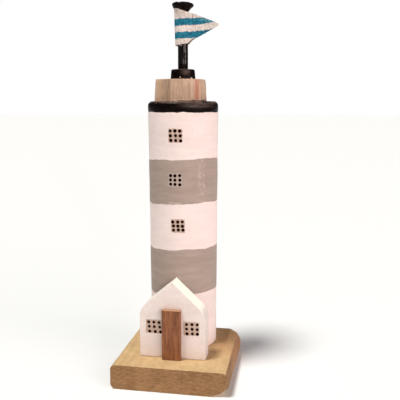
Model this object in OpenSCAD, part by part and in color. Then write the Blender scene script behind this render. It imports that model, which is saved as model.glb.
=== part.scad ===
// Painted wooden lighthouse ornament: a striped column with a keeper's cottage in front of it,
// a bare-wood lantern and a cloth pennant on a peg mast, all on a square board.
// +X is to the right, +Y to the back and +Z up. The origin is on the table, under the board's centre.

/* [Board] */
// Width of the board, left to right
board_w = 79; // [74:1:100]
// Depth of the board, front to back
board_d = 80; // [80:1:110]
// Thickness of the board
board_t = 17; // [12:0.5:25]
// Radius of the two planed long edges
board_round = 3.5; // [1:0.5:6]

/* [Tower] */
// Diameter of the column at its foot
tower_foot_d = 47.2; // [40:0.2:48]
// Diameter of the column under the gallery
tower_top_d = 48.8; // [46:0.2:49.6]
// Height of the column
tower_h = 166.5; // [160:0.5:200]
// How far the column stands behind the board's centre
tower_back = 15; // [12:0.5:15]

/* [Gallery and lantern] */
// Thickness of the black disc on the column
gallery_t = 7; // [4:0.5:10]
// Radius of the disc's upper edge
gallery_round = 3.2; // [1:0.2:3.6]
// Diameter of the bare-wood lantern, over its corners
lantern_d = 37; // [30:0.5:44]
// Height of the lantern
lantern_h = 14.7; // [10:0.1:20]
// How far the lantern was glued to the left of the column's axis
lantern_left = 1.8; // [0:0.1:3]
// Number of whittled flats round the lantern
lantern_flats = 17; // [14:1:24]
// Diameter of the lantern's black roof disc at its foot
roof_foot_d = 17.2; // [12:0.2:20]
// Diameter of the roof disc at its top
roof_top_d = 16.4; // [10:0.2:17]
// Height of the roof disc
roof_h = 7; // [4:0.5:10]

/* [Mast and pennant] */
// Diameter of the mast
mast_d = 6.8; // [5:0.1:8]
// Height of the mast that shows between the roof disc and the flared head
mast_clear = 38.4; // [34:0.2:50]
// How far the mast's foot is let into the column
mast_sunk = 13; // [8:1:14]
// Diameter of the mast's flared head
head_d = 14.6; // [11:0.2:18]
// Height of the flared head
head_h = 6.4; // [5:0.2:9]
// Height of the pennant at the mast
hoist = 24.8; // [16:0.2:30]
// Length of the pennant from the mast's axis to its tip
fly = 24.9; // [15:0.1:32]
// Thickness of the cloth
cloth_t = 0.6; // [0.4:0.1:1]

/* [Cottage] */
// Width of the cottage
cottage_w = 45.6; // [38:0.2:56]
// Depth of the cottage
cottage_d = 13.5; // [10:0.5:15]
// Height of the ridge above the board
ridge_h = 52.9; // [44:0.1:60]
// Slope of the roof, in degrees
roof_pitch = 43; // [35:1:48]
// Radius of the sanded eaves
eave_round = 15; // [4:1:18]
// Width of the door
door_w = 12.9; // [8:0.1:14]
// Height of the door
door_h = 35; // [29:0.5:38]
// Thickness of the door
door_t = 4; // [2:0.5:6]

/* [Windows and fasteners] */
// Diameter of the drilled window panes
pane_d = 2; // [1.5:0.1:2.4]
// Depth of the drilled window panes
pane_deep = 5; // [3:0.5:6]
// Diameter of the column's screw
screw_d = 4.2; // [3.5:0.1:5]
// Length of the column's screw
screw_l = 40; // [32:1:55]
// Diameter of the cottage's two panel pins
pin_d = 1.6; // [1.2:0.1:2]
// Length of the panel pins
pin_l = 30; // [26:1:32]

/* [Hidden] */

// Smoothness of turned surfaces, small bores, and the arcs in an outline
turn_fn = 96;
bore_fn = 24;
arc_fn = 12;
// How far a cutting tool runs past a face, and the air between pieces that only just touch
past = 1;
air = 0.05;

// Heights of the joints, upwards from the table
tower_foot = board_t;
gallery_foot = tower_foot + tower_h;
lantern_foot = gallery_foot + gallery_t;
roof_foot = lantern_foot + lantern_h;
head_foot = roof_foot + roof_h + mast_clear;

// The cottage's back touches the column at the height of its ridge
tower_r_at_ridge = (tower_foot_d + (tower_top_d - tower_foot_d) * ridge_h / tower_h) / 2;
cottage_back = tower_back - tower_r_at_ridge - air;
cottage_front = cottage_back - cottage_d;
cottage_left = 0.5;

// Each window has 3 rows of 3 panes, drilled by eye, so its spacing and lean are its own:
// [centre x, height above the board, spacing across, spacing up, sideways lean per row]
tower_windows = [[-0.4, 150.7, 3.3, 3.2, 0.3], [-0.8, 121.0, 3.2, 3.0, 0.0], [0.9, 89.4, 3.2, 2.8, 0.2]];
cottage_windows = [[-12.9, 21.6, 3.7, 3.4, 0.4], [13.2, 21.5, 3.6, 3.3, 0.1]];

// Unevenness of the whittled lantern: how far a corner wanders, as a part of one flat, and how deep
corner_wander = 0.22;
corner_depth = 0.7;

// Edge radii of the roof disc and of the mast's head, and the head's overhang at its neck
roof_edge = 0.9;
head_rim = 1.6;
neck_step = 0.3;

// The pennant: a loop round the mast, then two layers glued together from the seam to the tip.
// The drops are parts of the hoist, down from the top corner.
loop_gap = 0.7;
loop_left = 1.5;
seam_x = 9;
pennant_above_neck = 2.5;
tip_drop = 0.42;
heel_drop = 0.82;
throat_drop = 0.94;

// The screw's head and thread, and how far screw and pins are driven below the underside
sunk = 0.4;
screw_head_d = 2 * screw_d;
screw_head_h = 0.6 * screw_d;
thread_pitch = 1.8;
thread_root_d = 0.7 * screw_d;
screw_point = 3;
slot_w = 0.9;
slot_deep = 1.2;
pin_head_d = 2 * pin_d;
pin_head_h = 1;
pin_spread = 13;

// Points of an arc round c, from angle a0 to angle a1
function arc(c, r, a0, a1) =
    [for (i = [0:arc_fn]) let (a = a0 + (a1 - a0) * i / arc_fn) [c.x + r * cos(a), c.y + r * sin(a)]];

// Rectangle with one corner at the origin and all four corners rounded
function rounded_outline(w, h, r) = concat(
    arc([r, r], r, 180, 270), arc([w - r, r], r, 270, 360),
    arc([w - r, h - r], r, 0, 90), arc([r, h - r], r, 90, 180));

// One side of the cottage's outline, where the wall was sanded round into the roof
function eave_outline(side) = let (
    half = cottage_w / 2,
    corner = ridge_h - half * tan(roof_pitch),
    centre = [half - eave_round, corner - eave_round * tan((90 - roof_pitch) / 2)],
    points = arc(centre, eave_round, 0, 90 - roof_pitch))
    [for (i = [0:arc_fn]) let (p = points[side > 0 ? i : arc_fn - i]) [side * p.x, p.y]];

// The panes of one window, drilled along +Y from a face at front
module panes(window, front) {
    for (row = [-1:1], column = [-1:1])
        translate([window[0] + column * window[2] - row * window[4], front - past,
                   tower_foot + window[1] + row * window[3]])
            rotate([-90, 0, 0])
                cylinder(d = pane_d, h = pane_deep + past, $fn = bore_fn);
}

// The children, at each panel pin's place under the cottage
module at_pins() {
    for (side = [-1, 1])
        translate([side * pin_spread - cottage_left, cottage_back - cottage_d / 2, 0])
            children();
}

module base_plate() {
    color("burlywood")
        difference() {
            translate([-board_w / 2, board_d / 2, 0])
                rotate([90, 0, 0])
                    linear_extrude(board_d)
                        polygon(rounded_outline(board_w, board_t, board_round));
            translate([0, tower_back, 0]) {
                translate([0, 0, -past])
                    cylinder(d = screw_d, h = board_t + 2 * past, $fn = turn_fn);
                translate([0, 0, -past])
                    cylinder(d = screw_head_d, h = sunk + past, $fn = turn_fn);
                translate([0, 0, sunk])
                    cylinder(d1 = screw_head_d, d2 = screw_d, h = screw_head_h, $fn = turn_fn);
            }
            at_pins() {
                translate([0, 0, -past])
                    cylinder(d = pin_d, h = board_t + 2 * past, $fn = bore_fn);
                translate([0, 0, -past])
                    cylinder(d = pin_head_d, h = sunk + pin_head_h + past, $fn = bore_fn);
            }
        }
}

// The column: a round timber, very slightly fuller at its top, with three drilled windows
module tower() {
    color("white")
        difference() {
            translate([0, tower_back, tower_foot])
                cylinder(d1 = tower_foot_d, d2 = tower_top_d, h = tower_h, $fn = turn_fn);
            for (window = tower_windows)
                panes(window, tower_back - tower_top_d / 2);
            translate([0, tower_back, tower_foot - past])
                cylinder(d = screw_d, h = screw_l + sunk - board_t + past, $fn = turn_fn);
            translate([0, tower_back, gallery_foot - mast_sunk])
                cylinder(d = mast_d, h = mast_sunk + past, $fn = turn_fn);
        }
}

module gallery_disc() {
    r = tower_top_d / 2;
    color("black")
        translate([0, tower_back, gallery_foot])
            rotate_extrude($fn = turn_fn)
                polygon(concat(
                    [[mast_d / 2, 0], [r, 0]],
                    arc([r - gallery_round, gallery_t - gallery_round], gallery_round, 0, 90),
                    [[mast_d / 2, gallery_t]]));
}

// The lantern: a whittled block with uneven flats, bored for the mast off its own centre
module lantern_block() {
    color("tan")
        translate([0, tower_back, lantern_foot])
            difference() {
                translate([-lantern_left, 0, 0])
                    linear_extrude(lantern_h)
                        polygon([for (i = [0:lantern_flats - 1])
                            let (a = 360 * (i + corner_wander * sin(i * 137)) / lantern_flats,
                                 r = (lantern_d - corner_depth * (1 - sin(i * 211))) / 2)
                            [r * cos(a), r * sin(a)]]);
                translate([0, 0, -past])
                    cylinder(d = mast_d, h = lantern_h + 2 * past, $fn = turn_fn);
            }
}

module lantern_roof() {
    color("black")
        translate([0, tower_back, roof_foot])
            rotate_extrude($fn = turn_fn)
                polygon(concat(
                    [[mast_d / 2, 0], [roof_foot_d / 2, 0]],
                    arc([roof_top_d / 2 - roof_edge, roof_h - roof_edge], roof_edge, 0, 90),
                    [[mast_d / 2, roof_h]]));
}

// The mast: a turned peg with a flared head, run down through the lantern into the column
module mast() {
    r = mast_d / 2;
    foot = gallery_foot - mast_sunk;
    color("black")
        translate([0, tower_back, 0])
            rotate_extrude($fn = turn_fn)
                polygon(concat(
                    [[0, foot], [r, foot], [r, head_foot], [r + neck_step, head_foot]],
                    arc([head_d / 2 - head_rim, head_foot + head_h - head_rim], head_rim, -30, 90),
                    [[0, head_foot + head_h]]));
}

// The cloth's loop seen from above, grown by the given amount from the mast's own radius
module loop_outline(grow, tail_r) {
    hull() {
        translate([-loop_left, 0])
            circle(r = mast_d / 2 + grow, $fn = 32);
        circle(r = mast_d / 2 + grow, $fn = 32);
        translate([seam_x, 0])
            circle(r = tail_r, $fn = 16);
    }
}

// The pennant: one strip of cloth folded round the mast, glued to itself and cut to a point
module pennant() {
    top = head_foot + pennant_above_neck;
    fold_x = -loop_left - mast_d / 2 - loop_gap - cloth_t;
    color("lightblue")
        translate([0, tower_back, 0])
            difference() {
                intersection() {
                    translate([0, 0, top - hoist])
                        linear_extrude(hoist) {
                            difference() {
                                loop_outline(loop_gap + cloth_t, cloth_t);
                                loop_outline(loop_gap, air);
                            }
                            translate([seam_x - cloth_t, -cloth_t])
                                square([fly - seam_x + cloth_t, 2 * cloth_t]);
                        }
                    translate([0, head_d, top])
                        rotate([90, 0, 0])
                            linear_extrude(2 * head_d)
                                polygon([[fold_x, 0], [fly, -tip_drop * hoist], [mast_d, -heel_drop * hoist],
                                         [mast_d / 2, -throat_drop * hoist], [fold_x, -hoist]]);
                }
                translate([0, 0, head_foot])
                    cylinder(r1 = mast_d / 2 + neck_step + air, r2 = head_d / 2 + air,
                             h = head_h - 1.4 * head_rim, $fn = turn_fn);
            }
}

module cottage() {
    color("white")
        difference() {
            translate([-cottage_left, cottage_back, tower_foot])
                rotate([90, 0, 0])
                    linear_extrude(cottage_d)
                        polygon(concat(
                            [[-cottage_w / 2, 0], [cottage_w / 2, 0]],
                            eave_outline(1), [[0, ridge_h]], eave_outline(-1)));
            for (window = cottage_windows)
                panes(window, cottage_front);
            at_pins()
                translate([0, 0, tower_foot - past])
                    cylinder(d = pin_d, h = pin_l + sunk - board_t + past, $fn = bore_fn);
        }
}

module cottage_door() {
    color("sienna")
        translate([-cottage_left - door_w / 2, cottage_front - door_t, tower_foot])
            cube([door_w, door_t, door_h]);
}

// The wood screw that holds the column down, driven up through the board, with a cross recess
module tower_screw() {
    turns = floor((screw_l - screw_point - board_t) / thread_pitch);
    color("silver")
        translate([0, tower_back, sunk])
            difference() {
                rotate_extrude($fn = turn_fn)
                    polygon(concat(
                        [[0, 0], [screw_head_d / 2, 0], [screw_d / 2, screw_head_h], [screw_d / 2, board_t]],
                        [for (i = [0:turns - 1], crest = [0, 1])
                            [(crest ? screw_d : thread_root_d) / 2,
                             board_t + thread_pitch * (i + (crest + 1) / 2)]],
                        [[thread_root_d / 2, screw_l - screw_point], [0, screw_l]]));
                for (a = [0, 90])
                    rotate(a)
                        translate([-screw_head_d / 4, -slot_w / 2, -past])
                            cube([screw_head_d / 2, slot_w, slot_deep + past]);
            }
}

// The cottage's two panel pins, each with a flat head let into the board's underside
module cottage_pins() {
    color("silver")
        at_pins()
            translate([0, 0, sunk]) {
                cylinder(d = pin_head_d, h = pin_head_h, $fn = bore_fn);
                cylinder(d = pin_d, h = pin_l - pin_d, $fn = bore_fn);
                translate([0, 0, pin_l - pin_d])
                    cylinder(d1 = pin_d, d2 = 0, h = pin_d, $fn = bore_fn);
            }
}

base_plate();
tower();
gallery_disc();
lantern_block();
lantern_roof();
mast();
pennant();
cottage();
cottage_door();
tower_screw();
cottage_pins();
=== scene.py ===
"""Looks of the wooden lighthouse ornament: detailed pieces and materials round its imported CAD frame.

Lengths are in millimetres until a mesh is made. +X is to the right, +Y to the back and +Z up, and
each piece stands where its CAD node stands. Angles round the column start at the front and grow
to the right.
"""
import contextlib
import math
import random

import bmesh
import bpy
import numpy as np
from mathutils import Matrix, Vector, noise


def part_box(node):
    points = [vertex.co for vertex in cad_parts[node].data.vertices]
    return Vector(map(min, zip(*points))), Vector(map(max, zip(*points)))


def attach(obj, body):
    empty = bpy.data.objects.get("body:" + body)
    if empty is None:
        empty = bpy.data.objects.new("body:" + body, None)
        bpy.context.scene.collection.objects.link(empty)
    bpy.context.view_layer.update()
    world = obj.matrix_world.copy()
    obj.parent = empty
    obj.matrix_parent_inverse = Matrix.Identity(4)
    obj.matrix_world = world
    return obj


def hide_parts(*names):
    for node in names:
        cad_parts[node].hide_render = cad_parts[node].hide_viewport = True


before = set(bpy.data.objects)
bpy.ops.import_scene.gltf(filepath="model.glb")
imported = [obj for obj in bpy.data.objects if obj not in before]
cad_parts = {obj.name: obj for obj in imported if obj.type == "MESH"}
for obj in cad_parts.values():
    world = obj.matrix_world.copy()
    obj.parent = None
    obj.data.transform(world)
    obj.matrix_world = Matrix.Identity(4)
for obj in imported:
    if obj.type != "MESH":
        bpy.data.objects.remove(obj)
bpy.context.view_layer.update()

MM = 0.001

# The camera stands to the right of the front, as high as the gallery, and looks slightly down.
CAMERA_PLACE = (88.3, -406.8, 189.7)
CAMERA_TURN, CAMERA_DOWN = 10.26, 9.11
CAMERA_LENS = 54.8

# The heights between which the column is grey, and how its bands rise to the right and fall to the back
GREY_BANDS = ((57.4, 89.4), (121.2, 151.6))
BAND_RISE, BAND_FALL = 0.035, 0.02

# Angles round the column, in radians, between which the grey is rubbed pale, white is smeared over
# the foot of the upper grey band, the gallery and the collar carry a painted highlight on their right
# sides, and the gallery's upper edge is rubbed bare
RUBBED_LINE, SMEAR = (0.62, 0.84), (-0.20, 0.12)
SHEEN_DISC, SHEEN_COLLAR, BARE_RIM = (0.25, 1.1), (0.15, 0.75), (-1.2, 0.3)

# Chips in the collar's side: angle, height above its foot and radius
COLLAR_CHIPS = ((-0.02, 1.5, 0.5), (0.95, 0.5, 1.15))
BLACK_SPECULAR, STREAK_SPECULAR = 0.035, 0.32

# Panes of one window are closer than this. Half the width and height of the paint behind the windows
PANE_LINK = 6
TOWER_PATCH, COTTAGE_PATCH = (4.8, 4.7), (5.5, 4.9)

# The board's round long edges, and how far the cuts of its sanded corners reach along X, Y and Z
BOARD_ROUND = 3.6
FRONT_CUTS = ((11, 15, 4.2), (7, 15, 7), (3, 15, 13))
BACK_CUTS = ((8.5, 110, 4.5), (6.2, 110, 6.2), (4.5, 110, 8.5))

# The gable's slopes in degrees, the radius of its round eaves, and how much its ridge stood higher
LEFT_PITCH, RIGHT_PITCH = 40.0, 43.0
EAVE_ROUND, RIDGE_WEAR = 14.0, 0.6

# The number of the lantern's whittled flats, their lean inwards and the depth of its torn foot
LANTERN_FLATS = 15
LANTERN_NARROWING, TORN_EDGE = 1.2, 0.6

# The stripes' lower and upper edges as shares of the pennant's height, from its top
STRIPES = ((0.475, 0.290), (0.820, 0.645))
CLOTH_THICKNESS, YARN_PITCH = 0.35, 0.52

# Edges that turn by more degrees than this are sharp
SHARP_ANGLE, LANTERN_SHARP = 38, 60
BIT_SIDES = 20
RIGHT, BACKWARDS, UP = Vector((1, 0, 0)), Vector((0, 1, 0)), Vector((0, 0, 1))


# --- Measures taken from the frame ---

def box_mm(node):
    """Lowest and highest corner of a CAD node, in millimetres."""
    low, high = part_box(node)
    return low / MM, high / MM


BOARD_LOW, BOARD_HIGH = box_mm("base_plate")
TOWER_LOW, TOWER_HIGH = box_mm("tower")
DISC_LOW, DISC_HIGH = box_mm("gallery_disc")
LANTERN_LOW, LANTERN_HIGH = box_mm("lantern_block")
ROOF_LOW, ROOF_HIGH = box_mm("lantern_roof")
MAST_LOW, MAST_HIGH = box_mm("mast")
PENNANT_LOW, PENNANT_HIGH = box_mm("pennant")
COTTAGE_LOW, COTTAGE_HIGH = box_mm("cottage")
DOOR_LOW, DOOR_HIGH = box_mm("cottage_door")
SCREW_LOW, SCREW_HIGH = box_mm("tower_screw")
PINS_LOW, PINS_HIGH = box_mm("cottage_pins")
AXIS = (TOWER_LOW + TOWER_HIGH) / 2
ROOF_RADIUS = (ROOF_HIGH.x - ROOF_LOW.x) / 2
LANTERN_RADIUS = (LANTERN_HIGH.x - LANTERN_LOW.x) / 2
LANTERN_MIDDLE = (LANTERN_LOW + LANTERN_HIGH) / 2
LANTERN_MIDDLE.y = AXIS.y

# Where the mast's head starts to flare, and the chip in the front of its rim
MAST_NECK = MAST_HIGH.z - 6.4
CROWN_CHIP = Vector((-1.3, AXIS.y - 5.8, MAST_HIGH.z))


def ring_radius(node, height):
    """Largest distance from the column's axis of a node's points at one height."""
    points = [v.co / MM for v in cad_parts[node].data.vertices]
    return max(math.hypot(p.x - AXIS.x, p.y - AXIS.y) for p in points if abs(p.z - height) < 0.05)


def grouped(points, link):
    """Points gathered into groups that are linked by steps shorter than link."""
    groups = []
    for p in points:
        near = [g for g in groups if any(math.dist(p, q) < link for q in g)]
        groups = [g for g in groups if g not in near] + [[p, *(q for g in near for q in g)]]
    return groups


def drilled_panes(node, inside):
    """Centres of the flat ends of the window panes drilled in a CAD node.

    inside(x, y, z) is true for a point that lies on such an end."""
    points = [v.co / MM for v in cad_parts[node].data.vertices]
    ends = sorted({(round(p.x, 2), round(p.y, 2), round(p.z, 2)) for p in points if inside(*p)})
    return [Vector([(max(c) + min(c)) / 2 for c in zip(*g)]) for g in grouped(ends, 0.6)]


def windows_of(panes):
    """The middle (x, z) of each window that the panes make up."""
    return [(sum(p.x for p in g) / len(g), sum(p.z for p in g) / len(g)) for g in grouped(panes, PANE_LINK)]


# --- Shapes ---

def wander(point, size, seed=0):
    """Smooth noise from -1 to 1 that changes over about size millimetres."""
    return noise.noise(Vector(point) / size + Vector((17.3, 5.1, 9.7)) * (seed + 1))


def arc(centre, radius, start, end, steps):
    """Points of an arc in a plane, from angle start to angle end in degrees."""
    angles = [math.radians(start + (end - start) * i / steps) for i in range(steps + 1)]
    return [(centre[0] + radius * math.cos(a), centre[1] + radius * math.sin(a)) for a in angles]


def refined(points, step, closed=False):
    """The same line with extra points, so that no two are further apart than step."""
    line = []
    pairs = list(zip(points, points[1:] + points[:1] if closed else points[1:]))
    for a, b in pairs:
        count = max(1, math.ceil(math.dist(a, b) / step))
        line += [tuple(np.array(a) + (np.array(b) - a) * i / count) for i in range(count)]
    return line if closed else line + [points[-1]]


def lofted(rings, ends=True):
    """Points and faces through rings of equally many points, and a face at each end if ends is true."""
    count, points, faces = len(rings[0]), [p for ring in rings for p in ring], []
    last = len(points) - count
    for low in range(0, last, count):
        high = low + count
        faces += [(low + i, low + (i + 1) % count, high + (i + 1) % count, high + i) for i in range(count)]
    return points, faces + [tuple(range(count)), tuple(range(last, len(points)))] * ends


def add_object(name, data):
    """A new object in the scene."""
    made = bpy.data.objects.new(name, data)
    bpy.context.scene.collection.objects.link(made)
    return made


@contextlib.contextmanager
def edited(mesh):
    """A mesh that is open for changes and then written back."""
    bm = bmesh.new()
    bm.from_mesh(mesh)
    yield bm
    bm.to_mesh(mesh)
    bm.free()


def make_piece(name, points, faces):
    """A new object from points in millimetres, with its normals outwards."""
    mesh = bpy.data.meshes.new(name)
    mesh.from_pydata([Vector(p) * MM for p in points], [], faces)
    with edited(mesh) as bm:
        bmesh.ops.remove_doubles(bm, verts=bm.verts, dist=1e-7)
        bmesh.ops.recalc_face_normals(bm, faces=bm.faces)
    return add_object(name, mesh)


def smooth(piece, limit):
    """Smooth shading with sharp edges where two faces meet at more than limit, in degrees."""
    with edited(piece.data) as bm:
        for face in bm.faces:
            face.smooth = True
        for edge in bm.edges:
            edge.smooth = edge.calc_face_angle(0.0) < math.radians(limit)


def relief(piece, height):
    """Moves each point along its own normal by height(point), in millimetres."""
    with edited(piece.data) as bm:
        bm.normal_update()
        moves = [v.normal * height(v.co / MM) * MM for v in bm.verts]
        for v, move in zip(bm.verts, moves):
            v.co += move


def flatten_foot(piece, level):
    """Flattens what reaches below a level."""
    for v in piece.data.vertices:
        v.co.z = max(v.co.z, level * MM)


def sand(piece, corner, reach):
    """Cuts a corner off along the plane that meets its three edges at the reaches from it."""
    slope = Vector([1 / r for r in reach])
    for v in piece.data.vertices:
        past = 1 - (v.co / MM - Vector(corner)).dot(slope)
        if past > 0:
            v.co += slope * (past / slope.length_squared) * MM


def turned(name, profile, segments, uneven):
    """A solid round the column's axis. profile is closed or runs from the lower pole to the upper one.

    uneven(point, radius, turn) is added to the radius, so a turned piece is never perfectly round."""
    turns = [2 * math.pi * i / segments for i in range(segments)]
    rings = []
    for radius, height in profile:
        ring = []
        for turn in turns:
            point = (radius * math.sin(turn), radius * math.cos(turn), height)
            r = radius + uneven(point, radius, turn) if radius else 0
            ring.append((AXIS.x + r * math.sin(turn), AXIS.y - r * math.cos(turn), height))
        rings.append(ring)
    return make_piece(name, *lofted(rings, ends=False))


def prism(name, outline, front, back, rim, cell):
    """A solid with one outline in X and Z, from y = front to y = back, with both rims rounded."""
    outline = np.array(refined(outline, cell, closed=True))
    centre = (outline.max(0) + outline.min(0)) / 2
    along = np.roll(outline, -1, 0) - np.roll(outline, 1, 0)
    inward = np.stack([-along[:, 1], along[:, 0]], 1) / np.linalg.norm(along, axis=1)[:, None]
    inward *= np.sign(np.sum(inward * (centre - outline)))
    caps = max(2, round(min(centre - outline.min(0)) / cell / 1.5))
    steps = 4
    near = [(outline + inward * rim * (1 - math.cos(a)), rim * (1 - math.sin(a)))
            for a in (math.pi / 2 * i / steps for i in range(steps, -1, -1))]
    near = [(centre + (near[0][0] - centre) * i / caps, 0.0) for i in range(caps)] + near
    walls = max(1, round((back - front - 2 * rim) / cell))
    shapes = [(shape, front + depth) for shape, depth in near]
    shapes += [(outline, front + rim + (back - front - 2 * rim) * i / walls) for i in range(1, walls)]
    shapes += [(shape, back - depth) for shape, depth in reversed(near)]
    return make_piece(name, *lofted([[(x, y, z) for x, z in shape] for shape, y in shapes], ends=False))


def tube(line, radii, sides, across):
    """Points and faces of a closed tube along a line of points, with its radius at each of them."""
    turns, rings = [2 * math.pi * k / sides for k in range(sides)], []
    for i, (p, radius) in enumerate(zip(line, radii)):
        forward = (line[min(i + 1, len(line) - 1)] - line[max(i - 1, 0)]).normalized()
        side = forward.cross(across).normalized()
        up = forward.cross(side)
        rings.append([p + (side * math.cos(a) + up * math.sin(a)) * radius for a in turns])
    return lofted(rings)


def joined(parts):
    """Several (points, faces) as one."""
    points, faces = [], []
    for p, f in parts:
        faces += [tuple(i + len(points) for i in face) for face in f]
        points += p
    return points, faces


def bit(start, along, across, rings):
    """Points and faces of a drill bit from a point along a direction. rings are (distance, radius)."""
    line = [start + along * distance for distance, _ in rings]
    return tube(line, [radius for _, radius in rings], BIT_SIDES, across.cross(along))


def drill(piece, bits, material):
    """Cuts the bits out of a piece and lines the holes with a material."""
    cutter = make_piece("drill_bits", *joined(bits))
    cutter.data.materials.append(material)
    cut = piece.modifiers.new("holes", "BOOLEAN")
    cut.object, cut.operation, cut.solver, cut.material_mode = cutter, "DIFFERENCE", "EXACT", "TRANSFER"
    bake(piece)
    bpy.data.objects.remove(cutter)


def bake(piece):
    """Turns a piece's modifiers into its mesh."""
    shown = piece.evaluated_get(bpy.context.evaluated_depsgraph_get())
    mesh = bpy.data.meshes.new_from_object(shown)
    piece.modifiers.clear()
    piece.data = mesh


def pane_bits(panes, radius, seed):
    """Bits for hand-drilled panes: each a little off its mark and its size, with a pointed end."""
    rng = random.Random(seed)
    bits = []
    for pane in panes:
        r = radius * rng.uniform(0.92, 1.08)
        mark = Vector((pane.x + rng.uniform(-0.18, 0.18), BOARD_LOW.y, pane.z + rng.uniform(-0.15, 0.15)))
        deep = pane.y - mark.y
        rings = [(0, r), (deep, r), (deep + 0.6 * r, 0.05)]
        bits.append(bit(mark, BACKWARDS, RIGHT, rings))
    return bits


def place(piece, node=None, material=None, sharp=SHARP_ANGLE):
    """Smooths a finished piece, gives it its material and body, and hides the CAD node it stands for."""
    smooth(piece, sharp)
    if material:
        piece.data.materials.append(material)
    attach(piece, "root")
    if node:
        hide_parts(node)


# --- Materials ---

class Surface:
    """One procedural material. Its methods take numbers, colours or sockets and return sockets.

    Places and heights are in millimetres."""

    def __init__(self, name, specular=0.5, metallic=0.0):
        self.material = bpy.data.materials.new(name)
        self.material.use_nodes = True
        self.tree = self.material.node_tree
        self.shader = self.tree.nodes["Principled BSDF"]
        self.shader.inputs["Specular IOR Level"].default_value = specular
        self.shader.inputs["Metallic"].default_value = metallic
        place_m = self.node("TexCoord", {}).outputs["Object"]
        self.place = self.node("VectorMath", {0: place_m, "Scale": 1 / MM}, operation="SCALE").outputs[0]
        self.x, self.y, self.z = self.node("SeparateXYZ", {0: self.place}).outputs
        normal = self.node("NewGeometry", {}).outputs["True Normal"]
        self.facing = self.node("SeparateXYZ", {0: normal}).outputs

    def connect(self, value, socket):
        """Links a socket to another one, or sets it to a number, a vector or a colour."""
        if isinstance(value, bpy.types.NodeSocket):
            self.tree.links.new(value, socket)
        else:
            socket.default_value = (*value, 1.0) if socket.type == "RGBA" else value

    def node(self, kind, values, **settings):
        """A new node with its settings, and a value or a link for each input named in values."""
        node = self.tree.nodes.new("ShaderNode" + kind)
        for key, value in settings.items():
            setattr(node, key, value)
        for key, value in values.items():
            self.connect(value, node.inputs[key])
        return node

    def math(self, operation, *values):
        return self.node("Math", dict(enumerate(values)), operation=operation).outputs[0]

    def add(self, first, *others):
        for other in others:
            first = self.math("ADD", first, other)
        return first

    def times(self, first, *others):
        for other in others:
            first = self.math("MULTIPLY", first, other)
        return first

    def step(self, value, low, high):
        """0 below low and 1 above high, or the other way round if low is above high."""
        values = {"Value": value, "From Min": low, "From Max": high}
        return self.node("MapRange", values, interpolation_type="SMOOTHSTEP").outputs[0]

    def between(self, value, low, high, soft):
        """1 from low to high, with soft edges."""
        rise = self.step(value, low - soft, low + soft)
        fall = self.step(value, high + soft, high - soft)
        return self.times(rise, fall)

    def turn(self, x=0.0):
        """Angle round an upright line at x, in the middle of the column from front to back."""
        return self.math("ARCTAN2", self.add(self.x, -x), self.math("SUBTRACT", AXIS.y, self.y))

    def grain(self, size, stretch=(1, 1, 1), detail=2.0, seed=0):
        """Noise from 0 to 1 whose features are about size millimetres, longer along stretch."""
        scale = tuple(1 / (size * s) for s in stretch)
        offset = tuple(31.7 * seed + k for k in (1.3, 4.1, 7.9))
        where = self.node("VectorMath", {0: self.place, 1: scale, 2: offset}, operation="MULTIPLY_ADD")
        return self.node("TexNoise", {"Vector": where.outputs[0], "Scale": 1.0, "Detail": detail,
                                      "Roughness": 0.6}).outputs[0]

    def sway(self, amount, size, stretch=(1, 1, 1), detail=1.0, seed=0):
        """Noise from about -amount to amount."""
        return self.times(self.add(self.grain(size, stretch, detail, seed), -0.5), 2 * amount)

    def mix(self, mask, colour, other):
        """colour where mask is 0 and other where it is 1."""
        return self.node("Mix", {0: mask, 6: colour, 7: other}, data_type="RGBA").outputs[2]

    def patch(self, centre, half, ragged, soft):
        """A brushed rectangle in X and Z on what faces the front, with rounded, uneven edges."""
        dx = self.math("ABSOLUTE", self.times(self.add(self.x, -centre[0]), 1 / half[0]))
        dz = self.math("ABSOLUTE", self.times(self.add(self.z, -centre[1]), 1 / half[1]))
        reach = self.math("SMOOTH_MAX", dx, dz, 0.25)
        reach = self.add(reach, self.sway(ragged, 2.2, detail=2.0, seed=centre[0]))
        return self.times(self.step(reach, 1 + soft, 1 - soft), self.step(self.facing[1], -0.4, -0.6))

    def spot(self, centre, radius):
        """A small ragged spot round a point."""
        away = self.node("VectorMath", {0: self.place, 1: tuple(centre)}, operation="DISTANCE")
        ragged = self.add(away.outputs["Value"], self.sway(radius * 0.5, 0.7, detail=2.0, seed=16))
        return self.step(ragged, radius, radius * 0.5)

    def finish(self, colour, roughness, height=None):
        """Connects the shader. height is in millimetres. Returns the material."""
        self.connect(colour, self.shader.inputs["Base Color"])
        self.connect(roughness, self.shader.inputs["Roughness"])
        if height is not None:
            bump = self.node("Bump", {"Height": height, "Distance": MM, "Strength": 1.0})
            self.connect(bump.outputs[0], self.shader.inputs["Normal"])
        return self.material


WHITE, WHITE_SHADE = (0.88, 0.73, 0.695), (0.80, 0.66, 0.62)
COTTAGE_WHITE, COTTAGE_SHADE = (0.82, 0.715, 0.675), (0.74, 0.63, 0.585)
# Painted light: the lighter colours of the cottage's upward faces, lightest on the right roof slope
PAINTED_ROOF_LIGHT = (0.93, 0.95, 0.84)
PAINTED_EAVE_LIGHT = (0.95, 0.84, 0.79)
GREY, GREY_LIGHT = (0.345, 0.26, 0.218), (0.405, 0.31, 0.263)
SCUFF = (0.58, 0.48, 0.43)
PATCH, PATCH_SHADE = (0.56, 0.39, 0.31), (0.41, 0.27, 0.20)
BLACK, BLACK_LIGHT = (0.0035, 0.002, 0.0017), (0.008, 0.0045, 0.004)
BROWN_WEAR = (0.10, 0.045, 0.03)
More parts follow.
